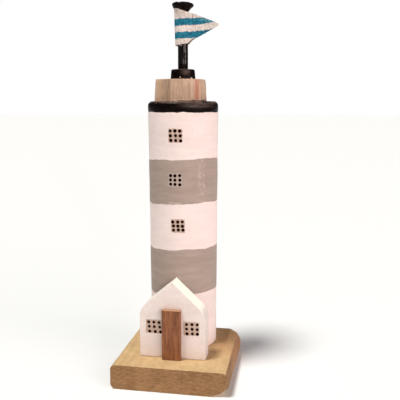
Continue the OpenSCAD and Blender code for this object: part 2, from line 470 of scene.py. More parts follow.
# Painted highlight: black lightened to grey where the gallery and the collar catch the light
PAINTED_SHEEN_BLACK = (0.145, 0.10, 0.086)
BARE_EDGE = (0.22, 0.135, 0.095)
CHIP, CROWN_CHIP_PAINT = (0.72, 0.60, 0.52), (0.42, 0.37, 0.34)
BOARD_FACE = ((0.72, 0.50, 0.27), (0.53, 0.345, 0.17))
# The board's darker sides and ends: end grain in part, painted shade in part
BOARD_SIDE_AND_SHADE = ((0.36, 0.197, 0.087), (0.205, 0.102, 0.04))
# The first colour on the next line is painted shade: the board's darker, redder tone where the cottage's
# shadow falls
BOARD_PAINTED_SHADE, BOARD_PORE, BOARD_SPOT = (0.49, 0.235, 0.115), (0.20, 0.10, 0.045), (0.10, 0.05, 0.02)
BARE_WOOD = ((0.37, 0.235, 0.155), (0.65, 0.445, 0.33))
# The second colour on the next line is a painted highlight along the lantern's lip
BARE_PORE, PAINTED_LIP_HIGHLIGHT, TORN_FOOT = (0.22, 0.13, 0.08), (0.78, 0.58, 0.46), (0.07, 0.02, 0.013)
DOOR_WOOD, DOOR_PORE = ((0.155, 0.05, 0.02), (0.335, 0.128, 0.052)), (0.09, 0.03, 0.015)
DOOR_END = ((0.40, 0.19, 0.095), (0.58, 0.33, 0.19))
CREAM_COTTON = ((0.68, 0.53, 0.46), (0.97, 0.87, 0.81))
TEAL_PRINT, TEAL_WORN = ((0.008, 0.055, 0.13), (0.045, 0.33, 0.44)), (0.42, 0.74, 0.76)
# The second colour on the next line is a painted shadow of the mast's head on the cloth
STRAY_THREAD, PAINTED_HEAD_SHADOW = (0.03, 0.07, 0.08), (0.30, 0.20, 0.15)
# The pane holes' near-black is painted shade for the deep holes
PANE_PAINTED_SHADE = ((0.030, 0.003, 0.001), (0.10, 0.014, 0.004))
ZINC, ZINC_STAIN = (0.60, 0.59, 0.56), (0.36, 0.31, 0.24)
PAPER = ((0.955, 0.965, 0.99), (0.96, 0.97, 0.995))

# The lantern's upright streaks: place round it and half its width in degrees, strength and colour; the last
# one, pale on the right flats, is a painted highlight
LANTERN_STAINS_AND_HIGHLIGHT = ((50, 12, 0.95, (0.42, 0.17, 0.10)), (-42, 12, 0.5, (0.55, 0.30, 0.13)),
                   (-17, 1.6, 0.8, (0.17, 0.08, 0.04)), (150, 8, 0.5, (0.46, 0.20, 0.10)),
                   (74, 22, 0.35, (0.76, 0.58, 0.42)))

# The stretch of paint strokes that lie level round the column
LAYER = (7, 7, 1)


def white_coat(s, shade, light, stretch):
    """Brushed white paint: colour and height of its strokes, which lie level round the piece."""
    broad = s.grain(2.6, stretch, 3.0, 1)
    fine = s.grain(0.55, stretch, 2.0, 2)
    cloud = s.grain(16, detail=2.0, seed=3)
    speck = s.step(s.grain(0.8, detail=0.0, seed=4), 0.80, 0.86)
    tone = s.add(s.times(broad, 0.45), s.times(fine, 0.2), s.times(cloud, 0.35))
    colour = s.mix(s.step(tone, 0.32, 0.66), shade, light)
    colour = s.mix(s.times(speck, 0.35), colour, BROWN_WEAR)
    return colour, s.add(s.times(broad, 0.10), s.times(fine, 0.05))


def patch_colour(s):
    """The mottled brown paint that is brushed behind the windows."""
    return s.mix(s.step(s.grain(1.3, detail=3.0, seed=12), 0.35, 0.65), PATCH_SHADE, PATCH)


def tower_paint(windows):
    """The column's bands, the patches behind its windows and the black paint's brushed lower edge."""
    s = Surface("tower_paint", specular=0.3)
    white, strokes = white_coat(s, WHITE_SHADE, WHITE, LAYER)
    wave = s.add(s.sway(1.3, 15, (1, 1, 3), seed=5), s.sway(0.35, 3.0, seed=6), s.sway(0.15, 0.8, seed=7))
    level = s.add(s.z, wave, s.times(s.x, -BAND_RISE), s.times(s.y, BAND_FALL), -BAND_FALL * TOWER_LOW.y)
    low, high = GREY_BANDS
    grey_mask = s.add(s.between(level, *low, 0.16), s.between(level, *high, 0.16))
    broad = s.grain(3.4, LAYER, 4.0, 8)
    hair = s.grain(0.4, (14, 14, 1), 1.0, 9)
    grey = s.mix(s.step(s.add(s.times(broad, 0.7), s.times(hair, 0.3)), 0.36, 0.64), GREY, GREY_LIGHT)
    turn = s.turn()
    line = s.between(s.add(turn, s.sway(0.10, 5, (1, 1, 3), seed=10)), *RUBBED_LINE, 0.05)
    rubbed = s.times(line, s.step(s.grain(1.7, (1, 1, 1.8), 3.0, 11), 0.44, 0.66),
                     s.step(s.z, high[0] - 4, high[0]))
    grey = s.mix(s.times(rubbed, 0.45), grey, SCUFF)
    smear = s.times(s.between(turn, *SMEAR, 0.12), s.between(s.z, high[0] - 1.0, high[0] + 1.4, 0.8),
                    s.step(s.grain(1.5, (4, 4, 1), 3.0, 15), 0.42, 0.6))
    colour = s.mix(s.times(grey_mask, s.add(1.0, s.times(smear, -0.6))), white, grey)
    brown = patch_colour(s)
    for centre in windows:
        on_grey = any(a < centre[1] < b for a, b in GREY_BANDS)
        mask = s.patch(centre, TOWER_PATCH, 0.12, 0.05)
        colour = s.mix(s.times(mask, 0.3 if on_grey else 0.9), colour, SCUFF if on_grey else brown)
    drip = s.add(s.z, s.sway(0.7, 6, (1, 1, 2), seed=13), s.sway(0.25, 1.2, seed=14))
    black = s.step(drip, TOWER_HIGH.z - 0.55, TOWER_HIGH.z - 0.3)
    colour = s.mix(black, colour, BLACK)
    height = s.add(strokes, s.times(grey_mask, 0.05), s.times(black, 0.08), s.times(hair, 0.03))
    rough = s.add(0.5, s.times(broad, 0.15))
    return s.finish(colour, rough, height)


def cottage_paint(windows):
    """The cottage's white front and sides, its upward faces lighter and creamier as painted light (most on
    the right roof slope), and the patches behind its windows.
    """
    s = Surface("white_paint", specular=0.3)
    colour, strokes = white_coat(s, COTTAGE_SHADE, COTTAGE_WHITE, (2.5, 2.5, 1))
    # Painted light: upward faces are lighter, and the right-facing roof slope is creamiest
    cream = s.times(s.step(s.z, COTTAGE_HIGH.z - 20.5, COTTAGE_HIGH.z - 15),
                    s.add(0.3, s.times(s.step(s.facing[0], -0.3, 0.3), 0.7)))
    colour = s.mix(s.step(s.facing[2], 0.3, 0.65), colour, s.mix(cream, PAINTED_EAVE_LIGHT, PAINTED_ROOF_LIGHT))
    brown = patch_colour(s)
    for x, z in windows:
        mask = s.patch((x - 0.5, z + 0.2), COTTAGE_PATCH, 0.10, 0.05)
        colour = s.mix(s.times(mask, 0.9), colour, brown)
    return s.finish(colour, 0.55, strokes)


def sheen_and_bare_edges(s, colour, patchy):
    """Painted highlights of black lightened to grey on the upper edges of the gallery and the collar and on
    their right sides, and bare on the gallery's front.
    """
    disc, collar = DISC_HIGH.z, ROOF_HIGH.z
    level = s.add(s.z, s.sway(0.5, 1.6, detail=2.0, seed=24))
    for top, deep, sheen_strength in ((disc, 1.9, 0.9), (collar, 0.9, 0.5)):
        # Painted highlight along the rounded upper edge
        edge = s.times(s.step(level, top - deep, top - deep / 3), s.step(s.z, top + 0.5, top + 0.1))
        colour = s.mix(s.times(edge, patchy, sheen_strength), colour, PAINTED_SHEEN_BLACK)
    sheen_streaks = s.step(s.grain(3, (3, 3, 1), 2.0, 27), 0.1, 0.8)
    # Painted highlight on the right sides of the gallery and the collar
    for angles, low, high in ((SHEEN_DISC, disc - 4, disc - 1.2), (SHEEN_COLLAR, collar - 3.6, collar - 1)):
        side_sheen = s.times(s.between(s.turn(), *angles, 0.3), s.between(s.z, low, high, 1.0))
        colour = s.mix(s.times(side_sheen, sheen_streaks, 0.85), colour, PAINTED_SHEEN_BLACK)
    bare = s.times(s.between(s.turn(), *BARE_RIM, 0.3), s.step(level, disc - 0.9, disc - 0.3),
                   s.step(s.z, disc + 0.5, disc + 0.1), s.step(s.grain(1.2, detail=3.0, seed=28), 0.36, 0.56))
    return s.mix(bare, colour, BARE_EDGE)


def chipped(s, colour):
    """Pale chips in the rim of the mast's head and in the collar's side."""
    colour = s.mix(s.times(s.spot(CROWN_CHIP - UP * 0.5, 1.5), 0.6), colour, CROWN_CHIP_PAINT)
    for turn, height, size in COLLAR_CHIPS:
        x, y = AXIS.x + ROOF_RADIUS * math.sin(turn), AXIS.y - ROOF_RADIUS * math.cos(turn)
        chip = (x, y, ROOF_LOW.z + height)
        colour = s.mix(s.spot(chip, size), colour, CHIP)
    return colour


def glossy(s):
    """Upright glossy streaks on the mast between the collar and the pennant; the rest stays dull."""
    streaks = s.step(s.grain(1.6, (1, 1, 3.5), 2.0, 29), 0.38, 0.54)
    above = s.step(s.z, ROOF_HIGH.z + 3, ROOF_HIGH.z + 4)
    below = s.step(s.z, PENNANT_LOW.z + 2, PENNANT_LOW.z + 1)
    specular = s.add(BLACK_SPECULAR, s.times(streaks, above, below, STREAK_SPECULAR))
    s.connect(specular, s.shader.inputs["Specular IOR Level"])


def black_paint():
    """Brushed black paint: painted highlights on its upper edges and right sides, brown at the collar's foot,
    and chipped.
    """
    s = Surface("black_paint", specular=BLACK_SPECULAR)
    strokes = s.grain(0.9, (9, 9, 1), 3.0, 20)
    lumps = s.grain(2.4, detail=2.0, seed=21)
    colour = s.mix(s.step(lumps, 0.3, 0.7), BLACK, BLACK_LIGHT)
    worn = s.step(s.add(s.grain(1.1, detail=3.0, seed=22), s.sway(0.12, 9, seed=23)), 0.70, 0.76)
    colour = s.mix(s.times(worn, 0.7), colour, BROWN_WEAR)
    patchy = s.step(s.grain(1.6, (2.5, 2.5, 1), 3.0, 25), 0.34, 0.62)
    colour = sheen_and_bare_edges(s, colour, patchy)
    foot = s.between(s.z, ROOF_LOW.z - 0.3, ROOF_LOW.z + 1.0, 0.5)
    colour = s.mix(s.times(foot, patchy, 0.8), colour, BROWN_WEAR)
    colour = chipped(s, colour)
    glossy(s)
    height = s.add(s.times(strokes, 0.03), s.times(lumps, 0.03))
    return s.finish(colour, s.add(0.16, s.times(lumps, 0.14)), height)


def board_wood():
    """Bare, plainly figured board with its grain along Y; its sanded sides and sawn ends are darker, partly
    as end grain and partly as painted shade, and a darker, redder patch right of the cottage is painted
    shade.
    """
    s = Surface("base_wood", specular=0.25)
    dx = s.add(s.x, -14.0, s.sway(3.5, 34, (1, 5, 1), seed=30))
    dz = s.add(s.z, 62.0, s.sway(2.5, 26, (1, 5, 1), seed=31), s.sway(0.5, 4, (1, 5, 1), seed=32))
    radius = s.math("SQRT", s.add(s.times(dx, dx), s.times(dz, dz)))
    ring = s.math("FRACT", s.times(radius, 1 / 2.9))
    late = s.times(s.step(ring, 0.1, 0.8), s.step(ring, 1.0, 0.9))
    fibre = s.grain(0.6, (1, 9, 1), 3.0, 33)
    fleck = s.grain(0.8, (3.2, 1.8, 0.6), 3.0, 36)
    cloud = s.grain(9, (1, 2.0, 1), 3.0, 35)
    # Sides and ends are darker: end grain in part, painted shade in part
    side = s.step(s.math("ABSOLUTE", s.facing[2]), 0.88, 0.45)
    tone = s.add(s.times(late, 0.06), s.times(fibre, 0.26), s.times(fleck, 0.34), s.times(cloud, 0.35))
    face = s.mix(s.step(tone, 0.34, 0.70), *BOARD_FACE)
    side_tone = s.add(s.times(late, 0.04), s.times(fleck, 0.66), s.times(cloud, 0.30))
    sawn = s.mix(s.step(side_tone, 0.34, 0.66), *BOARD_SIDE_AND_SHADE)
    colour = s.mix(side, face, sawn)
    # Painted shade: the board is darker and redder right of the cottage, where its shadow falls
    board_shade_patch = s.times(s.step(s.x, 18.0, 32.0), s.step(s.y, -24.0, 6.0), 0.5)
    colour = s.mix(board_shade_patch, colour, BOARD_PAINTED_SHADE)
    pores = s.step(s.grain(0.34, (1, 7, 1), 1.0, 34), 0.62, 0.72)
    colour = s.mix(s.times(pores, 0.25), colour, BOARD_PORE)
    spot = s.step(s.grain(2.0, detail=0.0, seed=37), 0.83, 0.87)
    colour = s.mix(s.times(spot, 0.6), colour, BOARD_SPOT)
    height = s.add(s.times(fibre, 0.10), s.times(late, -0.02), s.times(side, fleck, 0.22))
    return s.finish(colour, s.add(0.6, s.times(cloud, 0.15)), height)


def lantern_wood():
    """Whittled bare wood, its grain upright, with a rust-red streak, a painted highlight on its right flats
    and along its lip, and black paint at its torn foot.
    """
    s = Surface("bare_wood", specular=0.25)
    streak = s.grain(1.6, (1, 1, 12), 3.0, 40)
    fibre = s.grain(0.3, (1, 1, 14), 2.0, 41)
    cloud = s.grain(6, (1, 1, 2), 2.0, 42)
    flat = s.node("Attribute", {}, attribute_name="flat_tone").outputs["Fac"]
    tone = s.add(s.times(streak, 0.42), s.times(fibre, 0.14), s.times(cloud, 0.30), s.times(flat, 0.14))
    colour = s.mix(s.step(tone, 0.33, 0.66), *BARE_WOOD)
    turn = s.add(s.turn(LANTERN_MIDDLE.x), s.sway(0.03, 5, (1, 1, 3), seed=43),
                 s.times(s.z, -0.006), 0.006 * LANTERN_LOW.z + 0.04)
    # The last streak, pale on the right flats, is a painted highlight
    for middle, half, strength, stain in LANTERN_STAINS_AND_HIGHLIGHT:
        off = s.math("ABSOLUTE", s.add(turn, -math.radians(middle)))
        mask = s.times(s.step(off, math.radians(half), 0.0), s.step(streak, 0.2, 0.55))
        colour = s.mix(s.times(mask, strength), colour, stain)
    dark = s.step(s.grain(0.5, (1, 1, 10), 1.0, 44), 0.66, 0.76)
    colour = s.mix(s.times(dark, 0.4), colour, BARE_PORE)
    foot = LANTERN_LOW.z
    # Painted highlight along the lip above the foot
    colour = s.mix(s.times(s.step(s.z, foot + 1.6, foot + 0.8), 0.4), colour, PAINTED_LIP_HIGHLIGHT)
    edge = s.add(s.z, s.sway(1.1, 2.2, detail=3.0, seed=45), s.times(s.x, -0.03))
    colour = s.mix(s.times(s.step(edge, foot + 0.45, foot + 0.1), 0.9), colour, TORN_FOOT)
    colour = s.mix(s.step(s.facing[2], -0.3, -0.6), colour, BLACK)
    height = s.add(s.times(fibre, 0.12), s.times(streak, 0.15))
    return s.finish(colour, s.add(0.6, s.times(cloud, 0.2)), height)


def door_wood():
    """Red-brown hardwood with upright grain, dark pores and a pale sawn top."""
    s = Surface("door_wood", specular=0.3)
    band = s.grain(2.0, (1, 1, 16), 2.0, 50)
    streak = s.grain(0.5, (1, 1, 22), 2.0, 51)
    pore = s.step(s.grain(0.26, (1, 1, 9), 1.0, 52), 0.60, 0.72)
    tone = s.add(s.times(band, 0.5), s.times(streak, 0.5))
    colour = s.mix(s.step(tone, 0.36, 0.64), *DOOR_WOOD)
    colour = s.mix(s.times(pore, 0.6), colour, DOOR_PORE)
    end = s.step(s.facing[2], 0.45, 0.8)
    pale = s.mix(s.grain(0.6, detail=3.0, seed=53), *DOOR_END)
    colour = s.mix(end, colour, pale)
    return s.finish(colour, 0.5, s.add(s.times(streak, 0.08), s.times(pore, -0.10)))


def pennant_cloth():
    """Plain-weave cotton with two printed stripes, worn pale near the top, with a painted shadow of the
    mast's head.
    """
    s = Surface("striped_cloth", specular=0.03)
    level = s.add(s.z, s.times(s.x, -0.055), s.times(s.step(s.x, 6.0, 26.0), -1.0),
                  s.sway(1.0, 0.75, detail=1.0, seed=60), s.sway(0.3, 4, seed=61))
    top, height = PENNANT_HIGH.z, PENNANT_HIGH.z - PENNANT_LOW.z
    edges = [(top - low * height, top - high * height) for low, high in STRIPES]
    stripes = s.add(*(s.between(level, low, high, 0.16) for low, high in edges))
    pitch = 2 * math.pi / YARN_PITCH
    warp = s.math("SINE", s.times(s.add(s.x, s.times(s.z, 0.05), s.sway(0.1, 3, seed=62)), pitch))
    weft = s.math("SINE", s.times(s.add(s.z, s.times(s.x, -0.055), s.sway(0.1, 3, seed=63)), pitch))
    weave = s.times(warp, weft)
    yarn = s.grain(0.7, (1.3, 1, 1), 2.0, 64)
    cream = s.mix(s.step(s.add(yarn, s.times(weave, 0.07)), 0.36, 0.60), *CREAM_COTTON)
    inked = s.add(s.grain(0.6, (1.4, 1, 1), 2.0, 65), s.times(weave, 0.07))
    teal = s.mix(s.step(inked, 0.36, 0.64), *TEAL_PRINT)
    worn = s.times(s.step(s.add(s.z, s.times(s.x, 0.40)), top - 3.6, top - 2.2),
                   s.step(s.grain(0.8, detail=2.0, seed=66), 0.48, 0.58))
    teal = s.mix(s.times(worn, 0.5), teal, TEAL_WORN)
    colour = s.mix(stripes, cream, teal)
    thread = s.times(s.between(s.x, 6.9, 7.3, 0.3), s.between(s.z, top - 6.6, top - 4.6, 0.5),
                     s.step(s.y, AXIS.y, AXIS.y - 0.1))
    colour = s.mix(s.times(thread, 0.8), colour, STRAY_THREAD)
    # Painted shadow of the mast's head: the cloth's upper part beside the mast is darkened
    head_shadow = s.times(s.step(s.z, top - 4.5, top), s.step(s.x, 6.0, -6.0), 0.25)
    colour = s.mix(head_shadow, colour, PAINTED_HEAD_SHADOW)
    return s.finish(colour, 0.85, s.add(s.times(weave, 0.10), s.times(yarn, 0.22)))


def pane_hole():
    """The near-black wall of a drilled pane, its darkness painted shade for the deep hole."""
    s = Surface("pane_hole", specular=0.02)
    colour = s.mix(s.grain(0.7, detail=2.0, seed=70), *PANE_PAINTED_SHADE)
    return s.finish(colour, 0.9, s.times(s.grain(0.3, detail=1.0, seed=71), 0.1))


def steel():
    """Zinc-plated steel, for the screw and the pins under the board."""
    s = Surface("fastener_steel", metallic=1.0)
    brushed = s.grain(0.2, (6, 1, 1), 2.0, 80)
    stain = s.step(s.grain(1.6, detail=3.0, seed=81), 0.5, 0.7)
    colour = s.mix(s.times(stain, 0.5), ZINC, ZINC_STAIN)
    return s.finish(colour, s.add(0.28, s.times(brushed, 0.25)), s.times(brushed, 0.02))


# --- Pieces ---

def fastener_bits():
    """Bits for the screw's countersunk hole and the pins' stepped holes, right through the board."""
    screw, pin = (SCREW_HIGH.x - SCREW_LOW.x) / 2, (PINS_HIGH.y - PINS_LOW.y) / 2
    holes = [(AXIS.x, AXIS.y, [(0, screw + 0.1), (2.4, screw + 0.1), (4.8, screw / 2 + 0.1)])]
    for x in (PINS_LOW.x + pin, PINS_HIGH.x - pin):
        holes.append((x, PINS_LOW.y + pin, [(0, pin + 0.05), (3.4, pin + 0.05), (3.4, pin / 2 + 0.05)]))
    through = BOARD_HIGH.z + 4
    return [bit(Vector((x, y, -2)), UP, RIGHT, [*rings, (through, rings[-1][1])]) for x, y, rings in holes]


def make_board():
    """The board: planed round along its long edges, sawn square at its ends, two corners sanded off."""
    r, w, t = BOARD_ROUND, BOARD_HIGH.x, BOARD_HIGH.z
    outline = []
    for quarter, corner in enumerate(((w - r, t - r), (r - w, t - r), (r - w, r), (w - r, r))):
        outline += arc(corner, r, 90 * quarter, 90 * quarter + 90, 8)
    board = prism("base_plate_wood", outline, BOARD_LOW.y, BOARD_HIGH.y, 0.45, 1.1)
    for x, y, z in FRONT_CUTS:
        sand(board, (w, BOARD_LOW.y, 0), (-x, y, z))
    for x, y, z in BACK_CUTS:
        sand(board, (w, BOARD_HIGH.y, t), (-x, -y, -z))
    relief(board, lambda p: 0.10 * wander(p, 11) + 0.05 * wander((p.x, p.y / 6, p.z), 1.5, 1) - 0.12)
    material = board_wood()
    board.data.materials.append(material)
    drill(board, fastener_bits(), material)
    return board


def make_tower(hole):
    """The column: a slightly tapered round timber with three drilled windows."""
    foot, top = TOWER_LOW.z, TOWER_HIGH.z
    foot_r, top_r = ring_radius("tower", foot), ring_radius("tower", top)
    edge = 0.5
    profile = [(0, foot), *refined([(4, foot), (foot_r - edge, foot)], 4)]
    profile += arc((foot_r - edge, foot + edge), edge, -60, 0, 2)
    profile += refined([(foot_r, foot + edge + 0.6), (top_r, top - 0.3)], 1.25)
    profile += [(top_r - 0.15, top), *refined([(top_r - 2, top), (4, top)], 4), (0, top)]
    tower = turned("tower_timber", profile, 176, lambda p, radius, turn:
                   0.16 * wander(p, 18) + 0.05 * wander((p[0], p[1], p[2] / 5), 3, 2))
    ends = drilled_panes("tower", lambda x, y, z: math.hypot(x - AXIS.x, y - AXIS.y) < foot_r - 2
                         and abs(x) < 8 and y < AXIS.y - 8)
    tower.data.materials.append(tower_paint(windows_of(ends)))
    drill(tower, pane_bits(ends, 1.14, 1), hole)
    return tower


def make_gallery():
    """The black disc on the column, with a rounded upper edge."""
    r, r_in, edge = (DISC_HIGH.x - DISC_LOW.x) / 2 + 0.12, 3.4, 3.2
    low, high = DISC_LOW.z + 0.05, DISC_HIGH.z
    profile = [(r_in, low), *refined([(8, low), (r - 0.5, low)], 4), (r - 0.1, low + 0.1)]
    profile += refined([(r, low + 0.5), (r, high - edge)], 0.9)
    profile += arc((r - edge, high - edge), edge, 0, 90, 8)[1:]
    profile += refined([(r - 5, high), (r_in, high)], 2.5) + profile[:1]
    return turned("gallery_disc_wood", profile, 150, lambda p, radius, turn:
                  (0.14 * wander(p, 9, 3) + 0.06 * wander(p, 2.5, 4)) * (radius > 6))


def whittled_flats(rng):
    """The lantern's flats: angle, distance from its middle and how much each leans inwards."""
    flats = []
    for i in range(LANTERN_FLATS):
        turn = 2 * math.pi * (i + rng.uniform(-0.28, 0.28)) / LANTERN_FLATS
        distance = LANTERN_RADIUS * rng.uniform(0.968, 0.99)
        flats.append((turn, distance, rng.uniform(0.2, 1.0) * LANTERN_NARROWING))
    return flats


def whittled_radius(flats, turn, up):
    """Distance from the lantern's middle to its nearest flat. up is 0 at the foot and 1 at the top."""
    reach = []
    for flat, distance, lean in flats:
        swing = math.cos(turn - flat)
        if swing > 0.3:
            reach.append((distance - lean * (up - 0.42) - 0.2 * (2 * up - 0.9) ** 4) / swing)
    return min(reach)


def lantern_ring(flats, up, segments=240):
    """Points round the lantern's side. up is 0 at its torn foot and 1 at its nicked top."""
    ring = []
    for i in range(segments):
        turn = 2 * math.pi * i / segments
        r = whittled_radius(flats, turn, up)
        x, y = r * math.sin(turn), -r * math.cos(turn)
        z = LANTERN_LOW.z + (LANTERN_HIGH.z - LANTERN_LOW.z) * up
        r += 0.10 * wander((x, y, z / 7), 1.4, 6) + 0.12 * wander((x, y, z), 6, 7)
        z += TORN_EDGE * max(0.0, 0.1 + wander((x, y, 0), 1.9, 8)) * (1 - up) ** 6
        z -= 0.25 * max(0.0, wander((x, y, 9), 1.2, 9)) * up ** 12
        ring.append((LANTERN_MIDDLE.x + r * math.sin(turn), AXIS.y - r * math.cos(turn), z))
    return ring


def lantern_end(rim, lip, level, rise):
    """Rings that close the block inwards from one of its rims: a lip, a slight rise and a level middle."""
    centre, rings = LANTERN_MIDDLE, []
    for scale, height in ((0.985, None), (0.9, level + rise), (0.6, level), (0.3, level)):
        rings.append([(centre.x + (x - centre.x) * scale, centre.y + (y - centre.y) * scale,
                       z + lip if height is None else height) for x, y, z in rim])
    return rings


def make_lantern():
    """The whittled block: its flats are planes that lean a little, so its corners wander."""
    rng = random.Random(5)
    flats = whittled_flats(rng)
    tones = [rng.random() for _ in flats]
    rows = 22
    side = [lantern_ring(flats, k / rows) for k in range(rows + 1)]
    bottom = lantern_end(side[0], -0.02, LANTERN_LOW.z + 0.3, -0.02)
    top = lantern_end(side[-1], 0.12, LANTERN_HIGH.z, 0.02)
    lantern = make_piece("lantern_wood", *lofted(bottom[::-1] + side + top))
    marks = lantern.data.attributes.new("flat_tone", "FLOAT", "POINT")
    for v, mark in zip(lantern.data.vertices, marks.data):
        away = v.co / MM - LANTERN_MIDDLE
        turn = math.atan2(away.x, -away.y)
        reach = [distance / max(0.1, math.cos(turn - flat)) for flat, distance, _ in flats]
        on_side = math.hypot(away.x, away.y) > 0.94 * LANTERN_RADIUS
        mark.value = tones[reach.index(min(reach))] if on_side else 0.5
    return lantern


def make_roof():
    """The black collar on the lantern, with a rounded rim and a low lip round the mast."""
    foot_r, low, high = ROOF_RADIUS, ROOF_LOW.z + 0.05, ROOF_HIGH.z
    top_r, edge, r_in = foot_r - 0.45, 1.0, 3.3
    profile = [(r_in, low), (6, low), (foot_r - 0.3, low), (foot_r, low + 0.35)]
    profile += refined([(foot_r - 0.02, low + 0.9), (top_r, high - edge)], 0.7)
    profile += arc((top_r - edge, high - edge), edge, 0, 90, 6)[1:]
    profile += [(5, high + 0.05), (3.9, high + 0.12), (r_in, high - 0.2), profile[0]]
    return turned("lantern_roof_wood", profile, 96, lambda p, radius, turn:
                  (0.14 * wander(p, 5, 10) + 0.06 * wander(p, 1.4, 11)) * (radius > 4.5))


def make_mast():
    """The peg: a whittled shank and a flared head with an uneven crown and a chip in its rim."""
    low, high = MAST_LOW.z, MAST_HIGH.z
    r = ring_radius("mast", low) + 0.1
    head_r, rim, crown = (MAST_HIGH.x - MAST_LOW.x) / 2, 1.6, 2.2
    profile = [(0, low), (r - 0.3, low), (r, low + 0.4)]
    profile += refined([(r, low + 1.2), (r, MAST_NECK)], 0.8)[:-1]
    profile += refined([(r + 0.2, MAST_NECK), (head_r - 0.35, high - rim - 0.9)], 0.4)
    profile += arc((head_r - rim, high - rim - 0.05), rim, -20, 80, 8)
    profile += [(4.6, high - 0.1), (2.8, high - 0.05), (1.2, high), (0, high)]

    def uneven(p, radius, turn):
        wobble = 0.13 * wander((p[0], p[1], p[2] / 4), 3.2, 12) + 0.05 * wander(p, 1.0, 13)
        side = math.sin(turn + 0.2)
        swell = 0.65 * abs(side) * math.exp(-((p[2] - high + 3.3 - 0.5 * side) / 0.9) ** 2)
        return wobble * min(1.0, radius / 3) + swell

    mast = turned("mast_peg", profile, 84, uneven)
    for v in mast.data.vertices:
        p = v.co / MM
        if p.z > high - crown:
            side = (p.x - AXIS.x) / head_r
            chip = 0.5 * math.exp(-((p - CROWN_CHIP).length / 1.1) ** 2)
            dip = 0.22 * wander(p, 3.0, 14) + 0.2 * side + 0.3 * side * side + chip
            v.co.z -= max(0.0, 0.2 + dip) * MM * (p.z - high + crown) / crown
    return mast


def pennant_line(step):
    """Plan of the cloth, from the back layer's tip round the mast to the front layer's tip.

    Points are (x, y, distance along the cloth), measured from the mast's axis."""
    fold, tip, loop, seam, gap = PENNANT_LOW.x + 0.3, PENNANT_HIGH.x, 4.15, 10.5, 0.26
    front = [(x * -fold, y * loop) for x, y in arc((0, 0), 1.0, 180, 270, 24)]
    steps = 40
    for i in range(1, steps + 1):
        x = tip * i / steps
        close = 0.5 + 0.5 * math.cos(math.pi * min(1.0, x / seam))
        front.append((x, -(gap + (loop - gap) * close)))
    line = [(x, -y) for x, y in reversed(front)] + front[1:]
    line = refined(line, step)
    walked = np.concatenate([[0], np.cumsum([math.dist(a, b) for a, b in zip(line, line[1:])])])
    return [(x, y, d) for (x, y), d in zip(line, walked)]


def cloth_edges(x, behind):
    """Lower and upper edge of the cloth at x, on its front layer or on the one behind."""
    top, low, fold, tip = PENNANT_HIGH.z + 0.1, PENNANT_LOW.z, PENNANT_LOW.x, PENNANT_HIGH.x
    share = (x - fold) / (tip - fold)
    upper = top - 0.447 * (top - low) * share ** 1.15 + 0.45 * min(1, share * 3) * behind
    lower = np.interp(x, (fold, 3.5, 6.4 + 0.5 * behind, tip), (low, low + 1.2, low + 4.0, low + 13.3))
    lower -= 0.35 * behind
    return lower, max(upper, lower + 0.5)


def round_head(x, y, z):
    """y of the cloth at x and z, moved out of the way of the mast's flared head."""
    rise = z - MAST_NECK
    cone = 3.8 + 0.83 * rise
    if rise > 0 and math.hypot(x, y) < cone and x < 6:
        y = math.copysign(math.sqrt(max(cone ** 2 - x ** 2, y ** 2)), y if y else -1)
    return y


def cloth_point(x, y, behind, v):
    """A point of the cloth over (x, y) in its plan. v is 0 at its lower edge and 1 at its upper one."""
    lower, upper = cloth_edges(x, behind)
    fray = 0.28 * wander((x, 3.0 * behind, 0), 0.7, 15) * ((1 - v) ** 10 - v ** 10 * 0.6)
    z = lower + (upper - lower) * v + fray
    free = min(1.0, max(0.0, (x - 2) / 16))
    sway = 0.75 * math.sin(x / 4.3 + z / 14 + 0.6) * free + 0.35 * wander((x, 0, z), 7, 16) * free
    ripple = 0.18 * wander((x, y, z / 3), 2.6, 17)
    share = (x - PENNANT_LOW.x) / (PENNANT_HIGH.x - PENNANT_LOW.x)
    lean = 0.7 * (1 - v) * max(0.0, 1 - share * 3)
    return AXIS.x + x + lean, AXIS.y + round_head(x, y, z) + sway + ripple, z


def make_pennant():
    """The cloth: one strip folded round the mast, with soft waves and frayed cut edges.

    Also gives its flat size and its area, in metres."""
    line, rows = pennant_line(0.42), 56
    points, area, before = [], 0.0, 0.0
    for i, (x, y, walked) in enumerate(line):
        behind = i < len(line) // 2
        lower, upper = cloth_edges(x, behind)
        area += (upper - lower) * (walked - before)
        before = walked
        points += [cloth_point(x, y, behind, k / rows) for k in range(rows + 1)]
    stride, faces = rows + 1, []
    for start in range(0, len(points) - stride, stride):
        faces += [(k, k + stride, k + stride + 1, k + 1) for k in range(start, start + rows)]
    cloth = make_piece("pennant_cloth", points, faces)
    thick = cloth.modifiers.new("cloth", "SOLIDIFY")
    thick.thickness, thick.offset = CLOTH_THICKNESS * MM, 0.0
    bake(cloth)
    flat = (before * MM, (PENNANT_HIGH.z + 0.1 - PENNANT_LOW.z) * MM)
    return cloth, flat, area * MM * MM


